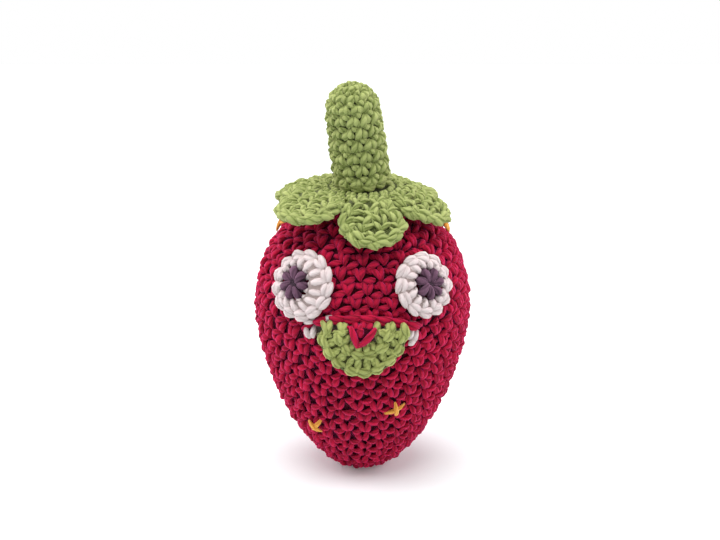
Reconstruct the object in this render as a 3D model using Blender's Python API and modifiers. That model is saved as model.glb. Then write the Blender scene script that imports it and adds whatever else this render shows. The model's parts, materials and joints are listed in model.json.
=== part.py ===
"""A crocheted strawberry soft toy with a face, built as its separate yarn pieces.

Metres, +Z up, the face looks towards -Y. The origin is the middle of the flat base it stands on.
An azimuth turns about +Z from the face: 0 is the front, positive towards +X.
"""

import math

import bmesh
import bpy
from mathutils import Matrix, Vector

MM = 0.001
GAP = 0.35 * MM  # between pieces that touch

# Body: a pear-shaped cone below its widest round and a dome above it
BODY_RADIUS = 35.6 * MM
WIDEST_HEIGHT = 55.2 * MM
BODY_HEIGHT = 93.4 * MM
BASE_RADIUS = 8.3 * MM
CONE_POWER, CONE_ROUNDING = 1.53, 1.92
DOME_POWER = 2.34
COVER_WALL = 3.2 * MM
SLOPE_STEP = 0.02 * MM  # half the height over which the outline's slope is measured

# Mouth: an oval slit with a white pocket behind it and a ridge along the upper lip
MOUTH_CENTRE = Vector((-0.7, -33.4, 59.4)) * MM
MOUTH_HALF = Vector((19.3, 9.0, 4.3)) * MM
MOUTH_TILT = math.radians(2.6)
LINING_WALL = 1.3 * MM
LIP_ROUND = 1.3 * MM
LIP_POINTS = (
    (-18.4, 58.8), (-15.0, 61.3), (-11.5, 63.5), (-6.0, 64.6), (0.0, 64.8), (10.0, 63.5), (18.0, 60.2)
)

# Tongue: a half disc that hangs from its upper edge, just under the lip
TONGUE_RADIUS = 15.2 * MM
TONGUE_HEIGHT = 63.0 * MM
TONGUE_STRETCH = 1.16  # longer than half its width
TONGUE_HALF_ANGLE = math.radians(79.0)
TONGUE_CENTRE_RADIUS = 5.3 * MM
TONGUE_THICKNESS = 3.0 * MM

# Eyes: name, azimuth, height, white radius, how far the pupil sits outwards of the middle
EYES = (
    ("left", -34.7, 72.2 * MM, 11.2 * MM, -2.3 * MM),
    ("right", 35.3, 72.2 * MM, 11.0 * MM, 1.4 * MM),
)
PUPIL_RADIUS = 5.3 * MM
EYE_EDGE, EYE_MIDDLE = 2.7 * MM, 3.6 * MM  # thickness of the white
EYE_RIM = 0.5 * MM  # how far the round edge stands out
EYE_UNDERSIDE = 36.0 * MM  # radius of the ball that the underside follows

# Seeds: azimuth, height, turn of the cross
SEEDS = (
    (20.8, 30.6, 8.0),
    (-35.7, 22.2, 30.0),
    (-110.0, 79.5, 15.0),
    (108.0, 79.0, -10.0),
    (150.0, 30.0, 20.0),
    (-150.0, 47.0, -15.0),
    (-172.0, 76.0, 25.0),
    (172.0, 57.0, 10.0),
)
SEED_LONG, SEED_SHORT = 7.2 * MM, 6.0 * MM
SEED_ROUND = 0.85 * MM
SEED_CROSSING = 80.0  # degrees between the two bars
SEED_OVERLAP = 0.2 * MM  # how much higher the upper bar lies

# Leaf crown: a round middle under the stem and six lobes round it
CROWN_BASE = BODY_HEIGHT + GAP
CROWN_THICKNESS = 3.0 * MM
CROWN_RADIUS = 12.5 * MM
CROWN_TOP_EDGE, CROWN_LOWER_EDGE = 0.6 * MM, 1.2 * MM
LOBE_ROOT = 13.2 * MM
LOBE_HALF_ANGLE = 28.2
LOBE_TIP_ROUNDING, LOBE_TIP_POWER = 0.20, 2.4
LOBE_NARROWING, LOBE_NARROWING_POWER = 0.08, 6
LOBE_DROOP_POWER = 1.35
# azimuth, tip radius, tip height, how far its two side edges are lifted
LOBES = (
    (8.0, 29.5, 86.3, 0.0, 0.0),
    (68.0, 28.4, 88.2, 3.0, 0.0),
    (128.0, 27.4, 88.2, 0.0, 0.6),
    (188.0, 28.4, 89.0, 0.4, 0.4),
    (248.0, 28.8, 89.8, 0.8, 0.8),
    (308.0, 31.6, 91.8, 0.4, 2.4),
)

# Stem: a closed tube, round at both ends, that leans a little to one side
STEM_RADIUS = 9.8 * MM
STEM_TIP_RADIUS = 9.3 * MM
STEM_BASE = CROWN_BASE + CROWN_THICKNESS + GAP
STEM_PIVOT = Vector((-0.8 * MM, 0.0, STEM_BASE + 9.9 * MM))
STEM_TOP = 131.2 * MM
STEM_LEAN = math.radians(-8.0)
STEM_WALL = 3.0 * MM
STEM_COLLAR_HEIGHT = 5.8 * MM
STEM_BALL_CUT = 0.80  # share of its radius at which the lower ball end is cut flat

RED = ((0.36, 0.012, 0.035), 0.85)
GREEN = ((0.30, 0.38, 0.11), 0.85)
WHITE = ((0.72, 0.64, 0.62), 0.85)
PURPLE = ((0.12, 0.085, 0.11), 0.85)
YELLOW = ((0.75, 0.42, 0.10), 0.85)
FIBRE = ((0.80, 0.79, 0.77), 0.95)


def clear_scene():
    for thing in list(bpy.data.objects):
        bpy.data.objects.remove(thing, do_unlink=True)


def new_collection(name):
    made = bpy.data.collections.new(name)
    bpy.context.scene.collection.children.link(made)
    return made


def yarn(name, look):
    """A plain material of one colour."""
    colour, roughness = look
    material = bpy.data.materials.new(name)
    material.use_nodes = True
    shader = material.node_tree.nodes["Principled BSDF"]
    shader.inputs["Base Color"].default_value = (*colour, 1.0)
    shader.inputs["Roughness"].default_value = roughness
    shader.inputs["Metallic"].default_value = 0.0
    return material


def body_radius(height):
    """The body's outer radius at a height above the base."""
    if height >= WIDEST_HEIGHT:
        share = min(1.0, (height - WIDEST_HEIGHT) / (BODY_HEIGHT - WIDEST_HEIGHT))
        return BODY_RADIUS * math.sqrt(1.0 - share**DOME_POWER)
    share = (WIDEST_HEIGHT - height) / WIDEST_HEIGHT
    cone = BODY_RADIUS * (1.0 - share**CONE_POWER) ** (1.0 / CONE_ROUNDING)
    return math.hypot(cone, BASE_RADIUS * share)


def surface_slope(height):
    """The angle by which the body widens upwards at a height."""
    rise = body_radius(height + SLOPE_STEP) - body_radius(height - SLOPE_STEP)
    return math.atan2(rise, 2.0 * SLOPE_STEP)


def body_outline(inset, steps):
    """The body's turned outline from the top of the axis to the bottom, moved inwards by inset."""
    heights = []
    for step in range(1, steps):
        turn = math.pi * step / steps
        heights.append(BODY_HEIGHT * 0.5 * (1.0 + math.cos(turn)))
    points = [(0.0, BODY_HEIGHT - inset)]
    for height in heights:
        slope = surface_slope(height)
        radius = body_radius(height) - inset * math.cos(slope)
        level = height + inset * math.sin(slope)
        if inset < level < points[-1][1] and radius > 0.2 * MM:
            points.append((radius, level))
    points.append((BASE_RADIUS - 0.4 * inset, inset))
    points.append((0.0, inset))
    return points


def surface_frame(azimuth, height, lift=0.0):
    """A placement on the body: local Z points out of the surface, local X runs round it."""
    slope = surface_slope(height)
    turn = math.radians(azimuth)
    outwards = Vector((math.sin(turn), -math.cos(turn), 0.0))
    normal = outwards * math.cos(slope) - Vector((0.0, 0.0, math.sin(slope)))
    across = Vector((math.cos(turn), math.sin(turn), 0.0))
    along = normal.cross(across)
    place = outwards * body_radius(height) + Vector((0.0, 0.0, height)) + normal * lift
    turned = Matrix((across, along, normal)).transposed().to_4x4()
    return Matrix.Translation(place) @ turned


def new_object(name, mesh, collection, material=None, place=None):
    made = bpy.data.objects.new(name, mesh)
    collection.objects.link(made)
    if place is not None:
        made.matrix_world = place
    if material is not None:
        mesh.materials.append(material)
    return made


def smooth(mesh, angle=40.0):
    mesh.shade_smooth()
    mesh.set_sharp_from_angle(angle=math.radians(angle))


def turned(name, profile, segments, collection, material=None, place=None):
    """A turned shape: the profile runs from top to bottom down its outer side at +X."""
    mesh = bpy.data.meshes.new(name)
    points = [(radius, 0.0, level) for radius, level in profile]
    mesh.from_pydata(points, [(i, i + 1) for i in range(len(points) - 1)], [])
    made = new_object(name, mesh, collection, material, place)
    screw = made.modifiers.new("turn", "SCREW")
    screw.axis = "Z"
    screw.angle = math.tau
    screw.steps = segments
    screw.render_steps = segments
    screw.use_merge_vertices = True
    screw.merge_threshold = 0.00001
    screw.use_smooth_shade = True
    return made


def solidify(made, thickness, offset):
    wall = made.modifiers.new("wall", "SOLIDIFY")
    wall.thickness = thickness
    wall.offset = offset
    wall.use_even_offset = True


def combine(made, other, operation):
    step = made.modifiers.new(operation.lower(), "BOOLEAN")
    step.operation = operation
    step.object = other
    step.solver = "EXACT"


def as_guide(made):
    made.hide_render = True
    made.display_type = "WIRE"
    return made


def oval(name, half, collection, segments=24, rings=12):
    """An egg-round solid at the mouth, turned to the mouth's slant."""
    mesh = bpy.data.meshes.new(name)
    shape = bmesh.new()
    bmesh.ops.create_uvsphere(shape, u_segments=segments, v_segments=rings, radius=1.0)
    bmesh.ops.scale(shape, vec=half, verts=shape.verts)
    bmesh.ops.rotate(shape, matrix=Matrix.Rotation(MOUTH_TILT, 3, "Y"), verts=shape.verts)
    bmesh.ops.translate(shape, vec=MOUTH_CENTRE, verts=shape.verts)
    shape.to_mesh(mesh)
    shape.free()
    return new_object(name, mesh, collection)


def tube(name, points, radius, collection, material, sides=2):
    """A yarn along points, as a mesh with closed ends."""
    curve = bpy.data.curves.new(name, "CURVE")
    curve.dimensions = "3D"
    curve.bevel_depth = radius
    curve.bevel_resolution = sides
    curve.use_fill_caps = True
    line = curve.splines.new("POLY")
    line.points.add(len(points) - 1)
    for point, place in zip(line.points, points):
        point.co = (*place, 1.0)
    guide = bpy.data.objects.new(name + "_path", curve)
    collection.objects.link(guide)
    seen = guide.evaluated_get(bpy.context.evaluated_depsgraph_get())
    mesh = bpy.data.meshes.new_from_object(seen)
    bpy.data.objects.remove(guide, do_unlink=True)
    shape = bmesh.new()
    shape.from_mesh(mesh)
    bmesh.ops.remove_doubles(shape, verts=shape.verts, dist=0.00001)
    shape.to_mesh(mesh)
    shape.free()
    mesh.name = name
    smooth(mesh)
    return new_object(name, mesh, collection, material)


def make_body(parts, guides, yarns):
    cover = turned("body_cover", body_outline(0.0, 20), 36, parts, yarns["red"])
    solidify(cover, COVER_WALL, -1.0)
    slit = as_guide(oval("mouth_cutter", MOUTH_HALF, guides))
    combine(cover, slit, "DIFFERENCE")

    inset = COVER_WALL + GAP
    stuffing = turned("body_stuffing", body_outline(inset, 14), 24, parts, yarns["fibre"])
    combine(stuffing, slit, "DIFFERENCE")

    shrink = Vector((GAP, GAP, GAP))
    lining = oval("mouth_lining", MOUTH_HALF - shrink, parts, 20, 10)
    lining.data.materials.append(yarns["white"])
    solidify(lining, LINING_WALL, -1.0)
    inside = turned("lining_limit", body_outline(GAP, 20), 36, guides)
    as_guide(inside)
    combine(lining, inside, "INTERSECT")


def lip_path():
    """Points along the ridge of the upper lip, just outside the body."""
    points = []
    count = 4
    for (x0, z0), (x1, z1) in zip(LIP_POINTS, LIP_POINTS[1:]):
        for step in range(count):
            share = step / count
            points.append((x0 + (x1 - x0) * share, z0 + (z1 - z0) * share))
    points.append(LIP_POINTS[-1])
    softened = [points[0]]
    for before, here, after in zip(points, points[1:], points[2:]):
        softened.append(tuple((before[i] + 2.0 * here[i] + after[i]) / 4.0 for i in range(2)))
    softened.append(points[-1])
    path = []
    for x, z in softened:
        x, z = x * MM, z * MM
        reach = body_radius(z) + LIP_ROUND + GAP
        path.append(Vector((x, -math.sqrt(reach**2 - x**2), z)))
    return path


def underside_drop(distance):
    """How far an eye's underside has fallen at a distance from the eye's middle."""
    return distance**2 / (2.0 * EYE_UNDERSIDE)


def eye_outline(radius):
    """A shallow dome with a round edge whose underside follows the body."""
    points = []
    flat = radius - EYE_RIM
    steps = 4
    for step in range(steps + 1):
        share = step / steps
        crown = EYE_MIDDLE - (EYE_MIDDLE - EYE_EDGE) * share**2
        points.append((share * flat, crown - underside_drop(share * flat)))
    points.append((radius, EYE_EDGE * 0.5 - underside_drop(flat)))
    for step in range(steps, -1, -1):
        share = step / steps
        points.append((share * flat, -underside_drop(share * flat)))
    return points


def make_eyes(parts, guides, yarns):
    for side, azimuth, height, radius, offset in EYES:
        place = surface_frame(azimuth, height, GAP)
        white = turned(f"{side}_eye_white", eye_outline(radius), 24, parts, yarns["white"], place)
        lean = Matrix.Rotation(offset / EYE_UNDERSIDE, 4, "Y")
        inner = place @ Matrix.Translation((offset, 0.0, -underside_drop(offset))) @ lean
        mesh = bpy.data.meshes.new(f"{side}_eye_hole")
        shape = bmesh.new()
        bmesh.ops.create_cone(shape, cap_ends=True, segments=24, radius1=PUPIL_RADIUS + GAP,
                              radius2=PUPIL_RADIUS + GAP, depth=16.0 * MM)
        shape.to_mesh(mesh)
        shape.free()
        hole = as_guide(new_object(f"{side}_eye_hole", mesh, guides, None, inner))
        combine(white, hole, "DIFFERENCE")
        turned(f"{side}_eye_pupil", eye_outline(PUPIL_RADIUS), 16, parts, yarns["purple"], inner)


def make_seeds(parts, guides, yarns):
    for number, (azimuth, height, turn) in enumerate(SEEDS, 1):
        lift = GAP + SEED_ROUND
        place = surface_frame(azimuth, height * MM, lift) @ Matrix.Rotation(math.radians(turn), 4, "Z")
        bars = []
        for length, angle, raised in ((SEED_LONG, 0.0, 0.0), (SEED_SHORT, SEED_CROSSING, SEED_OVERLAP)):
            mesh = bpy.data.meshes.new(f"seed_{number}")
            shape = bmesh.new()
            bmesh.ops.create_uvsphere(shape, u_segments=8, v_segments=6, radius=1.0)
            bmesh.ops.scale(shape, vec=(SEED_ROUND, SEED_ROUND, length / 2.0), verts=shape.verts)
            lying = Matrix.Rotation(math.radians(angle), 3, "Z") @ Matrix.Rotation(math.pi / 2, 3, "Y")
            bmesh.ops.rotate(shape, matrix=lying, verts=shape.verts)
            bmesh.ops.translate(shape, vec=(0.0, 0.0, raised), verts=shape.verts)
            shape.to_mesh(mesh)
            shape.free()
            bars.append(mesh)
        seed = new_object(f"seed_{number}", bars[0], parts, yarns["yellow"], place)
        smooth(bars[0])
        crossing = as_guide(new_object(f"seed_{number}_across", bars[1], guides, None, place))
        combine(seed, crossing, "UNION")


def make_crown(parts, yarns):
    top = CROWN_BASE + CROWN_THICKNESS
    profile = [
        (0.0, top),
        (CROWN_RADIUS - CROWN_TOP_EDGE, top),
        (CROWN_RADIUS, top - CROWN_TOP_EDGE),
        (CROWN_RADIUS, CROWN_BASE + CROWN_LOWER_EDGE),
        (CROWN_RADIUS - CROWN_LOWER_EDGE, CROWN_BASE),
        (0.0, CROWN_BASE),
    ]
    turned("crown_middle", profile, 32, parts, yarns["green"])
    for number, lobe in enumerate(LOBES, 1):
        make_lobe(number, lobe, parts, yarns)


def make_lobe(number, lobe, parts, yarns):
    """One lobe of the crown: a curved sheet from its root to a rounded tip."""
    azimuth, tip_radius, tip_height, lift_before, lift_after = lobe
    across, along = 7, 7
    mesh = bpy.data.meshes.new(f"crown_lobe_{number}")
    shape = bmesh.new()
    bmesh.ops.create_grid(shape, x_segments=across, y_segments=along, size=1.0)
    root_level = CROWN_BASE + CROWN_THICKNESS / 2.0
    for vertex in shape.verts:
        side = vertex.co.x
        share = (vertex.co.y + 1.0) / 2.0
        reach = tip_radius * MM * (1.0 - LOBE_TIP_ROUNDING * abs(side) ** LOBE_TIP_POWER)
        radius = LOBE_ROOT + (reach - LOBE_ROOT) * share
        narrow = 1.0 - LOBE_NARROWING * share**LOBE_NARROWING_POWER
        turn = math.radians(azimuth + side * LOBE_HALF_ANGLE * narrow)
        fall = (radius - LOBE_ROOT) / (tip_radius * MM - LOBE_ROOT)
        level = root_level - (root_level - tip_height * MM) * fall**LOBE_DROOP_POWER
        level += (lift_before if side < 0.0 else lift_after) * MM * side**2 * share
        vertex.co = (radius * math.sin(turn), -radius * math.cos(turn), level)
    bmesh.ops.recalc_face_normals(shape, faces=shape.faces)
    if sum(face.normal.z for face in shape.faces) < 0.0:
        bmesh.ops.reverse_faces(shape, faces=shape.faces)
    shape.to_mesh(mesh)
    shape.free()
    mesh.shade_smooth()
    made = new_object(f"crown_lobe_{number}", mesh, parts, yarns["green"])
    solidify(made, CROWN_THICKNESS, 0.0)


def capsule(radius, tip_radius, length, steps=5):
    """The outline of a round-ended tube about its lower centre, from the tip down to the cut end."""
    points = []
    for step in range(steps + 1):
        turn = math.pi / 2 * step / steps
        points.append((tip_radius * math.sin(turn), length + tip_radius * math.cos(turn)))
    points.append(((radius + tip_radius) / 2.0, length / 2.0))
    low = math.asin(STEM_BALL_CUT)
    for step in range(steps + 1):
        turn = low * step / steps
        points.append((radius * math.cos(turn), -radius * math.sin(turn)))
    return points


def make_stem(parts, guides, yarns):
    length = (STEM_TOP - STEM_PIVOT.z - STEM_TIP_RADIUS) / math.cos(STEM_LEAN)
    lean = Matrix.Translation(STEM_PIVOT) @ Matrix.Rotation(STEM_LEAN, 4, "Y")
    outer = capsule(STEM_RADIUS, STEM_TIP_RADIUS, length)
    cover = turned("stem_cover", outer, 24, parts, yarns["green"], lean)
    solidify(cover, STEM_WALL, -1.0)
    inset = STEM_WALL + GAP
    core = capsule(STEM_RADIUS - inset, STEM_TIP_RADIUS - inset, length)
    core.append((0.0, core[-1][1]))
    turned("stem_stuffing", core, 16, parts, yarns["fibre"], lean)

    low = STEM_PIVOT.z - STEM_BASE
    ball = STEM_RADIUS + GAP
    steps = 4
    profile = [(STEM_RADIUS, -low + STEM_COLLAR_HEIGHT), (STEM_RADIUS, -low)]
    for step in range(steps + 1):
        level = -low + STEM_COLLAR_HEIGHT * step / steps
        if abs(level) < ball:
            profile.append((math.sqrt(ball**2 - level**2), level))
    profile.append(profile[0])
    middle = Matrix.Translation(STEM_PIVOT)
    turned("stem_base_round", profile, 24, parts, yarns["green"], middle)


def tongue_place(across, down):
    """A point of the hanging tongue's middle surface."""
    height = TONGUE_HEIGHT - down
    reach = BODY_RADIUS + GAP * 2.0 + TONGUE_THICKNESS / 2.0
    return (across, -math.sqrt(reach**2 - across**2), height)


def tongue_sheet(name, inner, outer, steps, rings, parts, material):
    """Half a ring (or half a disc, with no inner radius) bent round the body."""
    mesh = bpy.data.meshes.new(name)
    shape = bmesh.new()
    bmesh.ops.create_grid(shape, x_segments=steps, y_segments=rings, size=1.0)
    for vertex in shape.verts:
        turn = vertex.co.x * TONGUE_HALF_ANGLE
        radius = inner + (outer - inner) * (vertex.co.y + 1.0) / 2.0
        down = radius * math.cos(turn) * TONGUE_STRETCH
        vertex.co = tongue_place(radius * math.sin(turn), down)
    bmesh.ops.remove_doubles(shape, verts=shape.verts, dist=0.00001)
    bmesh.ops.recalc_face_normals(shape, faces=shape.faces)
    if sum(face.normal.y for face in shape.faces) > 0.0:
        bmesh.ops.reverse_faces(shape, faces=shape.faces)
    shape.to_mesh(mesh)
    shape.free()
    mesh.shade_smooth()
    made = new_object(name, mesh, parts, material)
    solidify(made, TONGUE_THICKNESS, 0.0)


def make_tongue(parts, yarns):
    inner = TONGUE_CENTRE_RADIUS + GAP
    tongue_sheet("tongue_rounds", inner, TONGUE_RADIUS, 17, 4, parts, yarns["green"])
    tongue_sheet("tongue_centre", 0.0, TONGUE_CENTRE_RADIUS, 12, 2, parts, yarns["red"])


def main():
    clear_scene()
    parts = new_collection("crocheted_strawberry")
    guides = new_collection("cutters")
    yarns = {
        "red": yarn("red_yarn", RED),
        "green": yarn("green_yarn", GREEN),
        "white": yarn("white_yarn", WHITE),
        "purple": yarn("purple_yarn", PURPLE),
        "yellow": yarn("yellow_thread", YELLOW),
        "fibre": yarn("fibre_filling", FIBRE),
    }
    make_body(parts, guides, yarns)
    tube("upper_lip_ridge", lip_path(), LIP_ROUND, parts, yarns["red"])
    make_eyes(parts, guides, yarns)
    make_seeds(parts, guides, yarns)
    make_crown(parts, yarns)
    make_stem(parts, guides, yarns)
    make_tongue(parts, yarns)


main()
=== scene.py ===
import json
import math
import random

import bmesh
import bpy
import numpy as np
from mathutils import Matrix, Vector
from mathutils.bvhtree import BVHTree


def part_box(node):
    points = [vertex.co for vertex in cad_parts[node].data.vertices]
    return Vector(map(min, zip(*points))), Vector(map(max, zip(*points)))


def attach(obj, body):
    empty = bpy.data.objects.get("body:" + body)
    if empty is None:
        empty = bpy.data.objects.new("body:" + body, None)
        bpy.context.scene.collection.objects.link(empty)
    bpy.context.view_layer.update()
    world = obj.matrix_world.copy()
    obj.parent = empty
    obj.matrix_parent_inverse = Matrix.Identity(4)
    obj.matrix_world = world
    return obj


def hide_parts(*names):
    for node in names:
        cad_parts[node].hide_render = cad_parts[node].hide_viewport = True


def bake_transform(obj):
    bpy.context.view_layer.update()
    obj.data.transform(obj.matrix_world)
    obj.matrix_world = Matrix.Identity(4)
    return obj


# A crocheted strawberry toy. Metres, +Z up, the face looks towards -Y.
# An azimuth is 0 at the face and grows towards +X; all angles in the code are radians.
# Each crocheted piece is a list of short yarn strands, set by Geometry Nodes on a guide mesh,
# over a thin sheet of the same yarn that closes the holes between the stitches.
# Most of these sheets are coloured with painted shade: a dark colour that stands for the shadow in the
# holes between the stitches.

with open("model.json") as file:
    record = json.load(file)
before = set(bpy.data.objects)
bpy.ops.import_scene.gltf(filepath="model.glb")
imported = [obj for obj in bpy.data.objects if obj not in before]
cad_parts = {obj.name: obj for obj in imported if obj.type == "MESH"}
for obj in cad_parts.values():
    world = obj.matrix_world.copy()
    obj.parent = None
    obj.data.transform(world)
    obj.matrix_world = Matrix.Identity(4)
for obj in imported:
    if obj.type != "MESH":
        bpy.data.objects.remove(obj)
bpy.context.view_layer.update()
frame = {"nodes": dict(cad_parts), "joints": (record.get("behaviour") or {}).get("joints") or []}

MM = 0.001
UP = Vector((0.0, 0.0, 1.0))
DOWN = -UP
chance = random.Random(7)

# Yarn
RED_THICK = 2.5 * MM
GREEN_THICK = 2.5 * MM
STEM_THICK = 2.85 * MM
WHITE_THICK = 2.3 * MM
SEED_THICK = 1.8 * MM
PLIES = 3
PLY_TURNS = 1.6
PLY_RELIEF = 0.32 * MM

# Body stitches
STITCH_WIDTH = 6.3 * MM
PITCH_BELOW_MOUTH = 5.0 * MM
PITCH_ABOVE_MOUTH = 5.45 * MM
ROW_DRIFT = 0.38  # how far each row is turned against the one below, in stitches
FABRIC_DEPTH = 1.1 * MM  # how deep the middle of a strand lies under the outer surface
SHEET_DEPTH = 2.7 * MM  # how deep the sheet behind the stitches lies
ROWS_END = 6.0 * MM  # how far short of the middle of its top the body's rows end, under the crown
CLEAR_OF_MOUTH = 0.06  # least height in its row of a strand that lies on the mouth's upper edge

# One stitch: start and end of each strand across and up its cell, its thickness and its depth in mm
STITCH = (
    ((0.04, -0.02), (0.17, 0.82), 1.00, 0.0),  # right leg
    ((0.00, 0.04), (-0.34, 0.78), 1.00, 0.0),  # left leg
    ((0.20, -0.22), (0.78, 0.07), 0.95, 0.0),  # slanting bar between two stitches
    ((0.28, 0.60), (0.74, 0.48), 0.95, 1.2),  # yarn seen behind, between two stitches
)

# Sheets
HOLE_SHADE_TONE = -2.2  # below zero the shade turns to the yarn's painted shade colour, the shadow in the holes between the stitches
MOUTH_TONE = 0.8
MERGE = 0.05 * MM
HAIR = 0.001 * MM

# Eyes
EYE_STITCHES = 14
PUPIL_STITCHES = 7
PUPIL_THICK = 2.9 * MM


def srgb(red, green, blue):
    """A colour given as 0 to 255 on a screen, as the linear values that a shader takes."""
    made = []
    for part in (red, green, blue):
        share = part / 255.0
        made.append(share / 12.92 if share <= 0.04045 else ((share + 0.055) / 1.055) ** 2.4)
    return tuple(made)


# ---------------------------------------------------------------- node trees


class Value:
    """A number socket of a shader that takes part in Python sums."""

    def __init__(self, tree, socket):
        self.tree = tree
        self.socket = socket

    def __add__(self, other):
        return self.tree.maths("ADD", self, other)

    def __sub__(self, other):
        return self.tree.maths("SUBTRACT", self, other)

    def __rsub__(self, other):
        return self.tree.maths("SUBTRACT", other, self)

    def __mul__(self, other):
        return self.tree.maths("MULTIPLY", self, other)

    def __pow__(self, other):
        return self.tree.maths("POWER", self, other)

    def sine(self):
        return self.tree.maths("SINE", self)

    def clamped(self):
        return Value(self.tree, self.tree.node("ShaderNodeClamp", {}, {"Value": self}).outputs[0])


class Tree:
    """A node tree that is built by calls."""

    def __init__(self, tree):
        self.tree = tree

    def node(self, kind, settings, values):
        """A new node: its settings first, then a value or a link for each named socket."""
        made = self.tree.nodes.new(kind)
        for name, value in settings.items():
            setattr(made, name, value)
        for name, value in values.items():
            self.feed(self.socket(made.inputs, name), value)
        return made

    def socket(self, sockets, name):
        """The socket in use with a name, or with a number."""
        if isinstance(name, int):
            return sockets[name]
        return next(s for s in sockets if s.name == name and s.enabled)

    def feed(self, socket, value):
        """Links a value, node or socket to a socket, or sets a plain value."""
        if isinstance(value, Value):
            value = value.socket
        if isinstance(value, bpy.types.Node):
            value = next(s for s in value.outputs if s.enabled)
        if isinstance(value, bpy.types.NodeSocket):
            self.tree.links.new(value, socket)
        else:
            socket.default_value = value

    def maths(self, operation, *parts):
        """A sum of numbers and values."""
        values = dict(enumerate(parts))
        return Value(self, self.node("ShaderNodeMath", {"operation": operation}, values).outputs[0])

    def mix(self, share, first, second):
        """Two colours mixed by a share."""
        made = self.node("ShaderNodeMix", {"data_type": "RGBA", "blend_type": "MIX"}, {"Factor": share})
        self.feed(made.inputs[6], first)
        self.feed(made.inputs[7], second)
        return made.outputs[2]

    def value(self, node, name):
        """A node's output as a value."""
        return Value(self, self.socket(node.outputs, name))


# ---------------------------------------------------------------- materials


def new_material(name):
    """An empty node material, and its tree."""
    material = bpy.data.materials.new(name)
    material.use_nodes = True
    material.node_tree.nodes.clear()
    return material, Tree(material.node_tree)


def yarn_material(name, light, dark_and_groove_shade, hole_shade, glow, sheen):
    """Plied cotton yarn: the plies wind round each strand and fine fibres run along them; shade is painted
    into the ply grooves and onto the sheets behind the stitches.
    """
    material, tree = new_material(name)
    uv = tree.node("ShaderNodeUVMap", {"uv_map": "yarn"}, {})
    split = tree.node("ShaderNodeSeparateXYZ", {}, {"Vector": uv})
    around = tree.value(split, "X")
    along = tree.value(split, "Y")
    strand = tree.node("ShaderNodeAttribute", {"attribute_name": "shade"}, {})
    shade = tree.value(strand, "Fac")

    winding = around * PLIES + along * PLY_TURNS
    ply = (winding * math.tau).sine() * 0.5 + 0.5
    fibre_place = tree.node(
        "ShaderNodeCombineXYZ", {}, {"X": winding * 7.0, "Y": along * 2.0 - around, "Z": shade * 31.0}
    )
    fibres = tree.node(
        "ShaderNodeTexNoise", {}, {"Vector": fibre_place, "Scale": 1.4, "Detail": 3.0, "Roughness": 0.6}
    )
    fibre = tree.value(fibres, "Fac")
    place = tree.node("ShaderNodeTexCoord", {}, {})
    patches = tree.node(
        "ShaderNodeTexNoise", {}, {"Vector": place.outputs["Object"], "Scale": 90.0, "Detail": 2.0}
    )
    patch = tree.value(patches, "Fac")

    # Painted shade: the ply grooves turn towards the dark colour, on top of the random tone from the
    # fibres, the strand and the patches.
    groove = 1.0 - (1.0 - ply) ** 3.0
    tone = (groove * 0.50 + fibre * 0.60 + shade * 0.30 + patch * 0.25 - 0.42).clamped()
    lit = tree.mix(tone, (*dark_and_groove_shade, 1.0), (*light, 1.0))
    # Painted shade: a shade below zero, as on the sheets, turns the colour to the hole shade colour, the
    # shadow between the stitches.
    colour = tree.mix((shade * -1.0).clamped(), lit, (*hole_shade, 1.0))
    height = groove * 0.7 + fibre * 0.45
    relief = tree.node("ShaderNodeBump", {}, {"Height": height, "Strength": 0.85, "Distance": PLY_RELIEF})
    shader = tree.node(
        "ShaderNodeBsdfPrincipled",
        {},
        {
            "Base Color": colour,
            "Roughness": 0.98 - fibre * 0.25,
            "Specular IOR Level": 0.22,
            "Sheen Weight": sheen,
            "Sheen Roughness": 0.45,
            "Sheen Tint": (*glow, 1.0),
            "Normal": relief,
        },
    )
    tree.node("ShaderNodeOutputMaterial", {}, {"Surface": shader})
    return material


def fibre_material(name):
    """Loose white filling fibre."""
    material, tree = new_material(name)
    place = tree.node("ShaderNodeTexCoord", {}, {})
    tangle = tree.node(
        "ShaderNodeTexNoise",
        {},
        {"Vector": place.outputs["Object"], "Scale": 420.0, "Detail": 6.0, "Distortion": 2.5},
    )
    lump = tree.value(tangle, "Fac")
    colour = tree.mix(lump.clamped(), (*srgb(205, 200, 194), 1.0), (*srgb(243, 241, 238), 1.0))
    relief = tree.node("ShaderNodeBump", {}, {"Height": lump, "Strength": 0.9, "Distance": 0.8 * MM})
    shader = tree.node(
        "ShaderNodeBsdfPrincipled",
        {},
        {
            "Base Color": colour,
            "Roughness": 1.0 - lump * 0.15,
            "Specular IOR Level": 0.15,
            "Sheen Weight": 0.4,
            "Normal": relief,
        },
    )
    tree.node("ShaderNodeOutputMaterial", {}, {"Surface": shader})
    return material


def floor_material():
    """A plain pale floor."""
    material, tree = new_material("studio_floor")
    shader = tree.node(
        "ShaderNodeBsdfPrincipled",
        {},
        {
            "Base Color": (0.85, 0.93, 0.92, 1.0),
            "Roughness": 0.95,
            "Specular IOR Level": 0.1,
            "Emission Color": (1.0, 1.0, 1.0, 1.0),
            "Emission Strength": 0.10,
        },
    )
    tree.node("ShaderNodeOutputMaterial", {}, {"Surface": shader})
    return material


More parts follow.
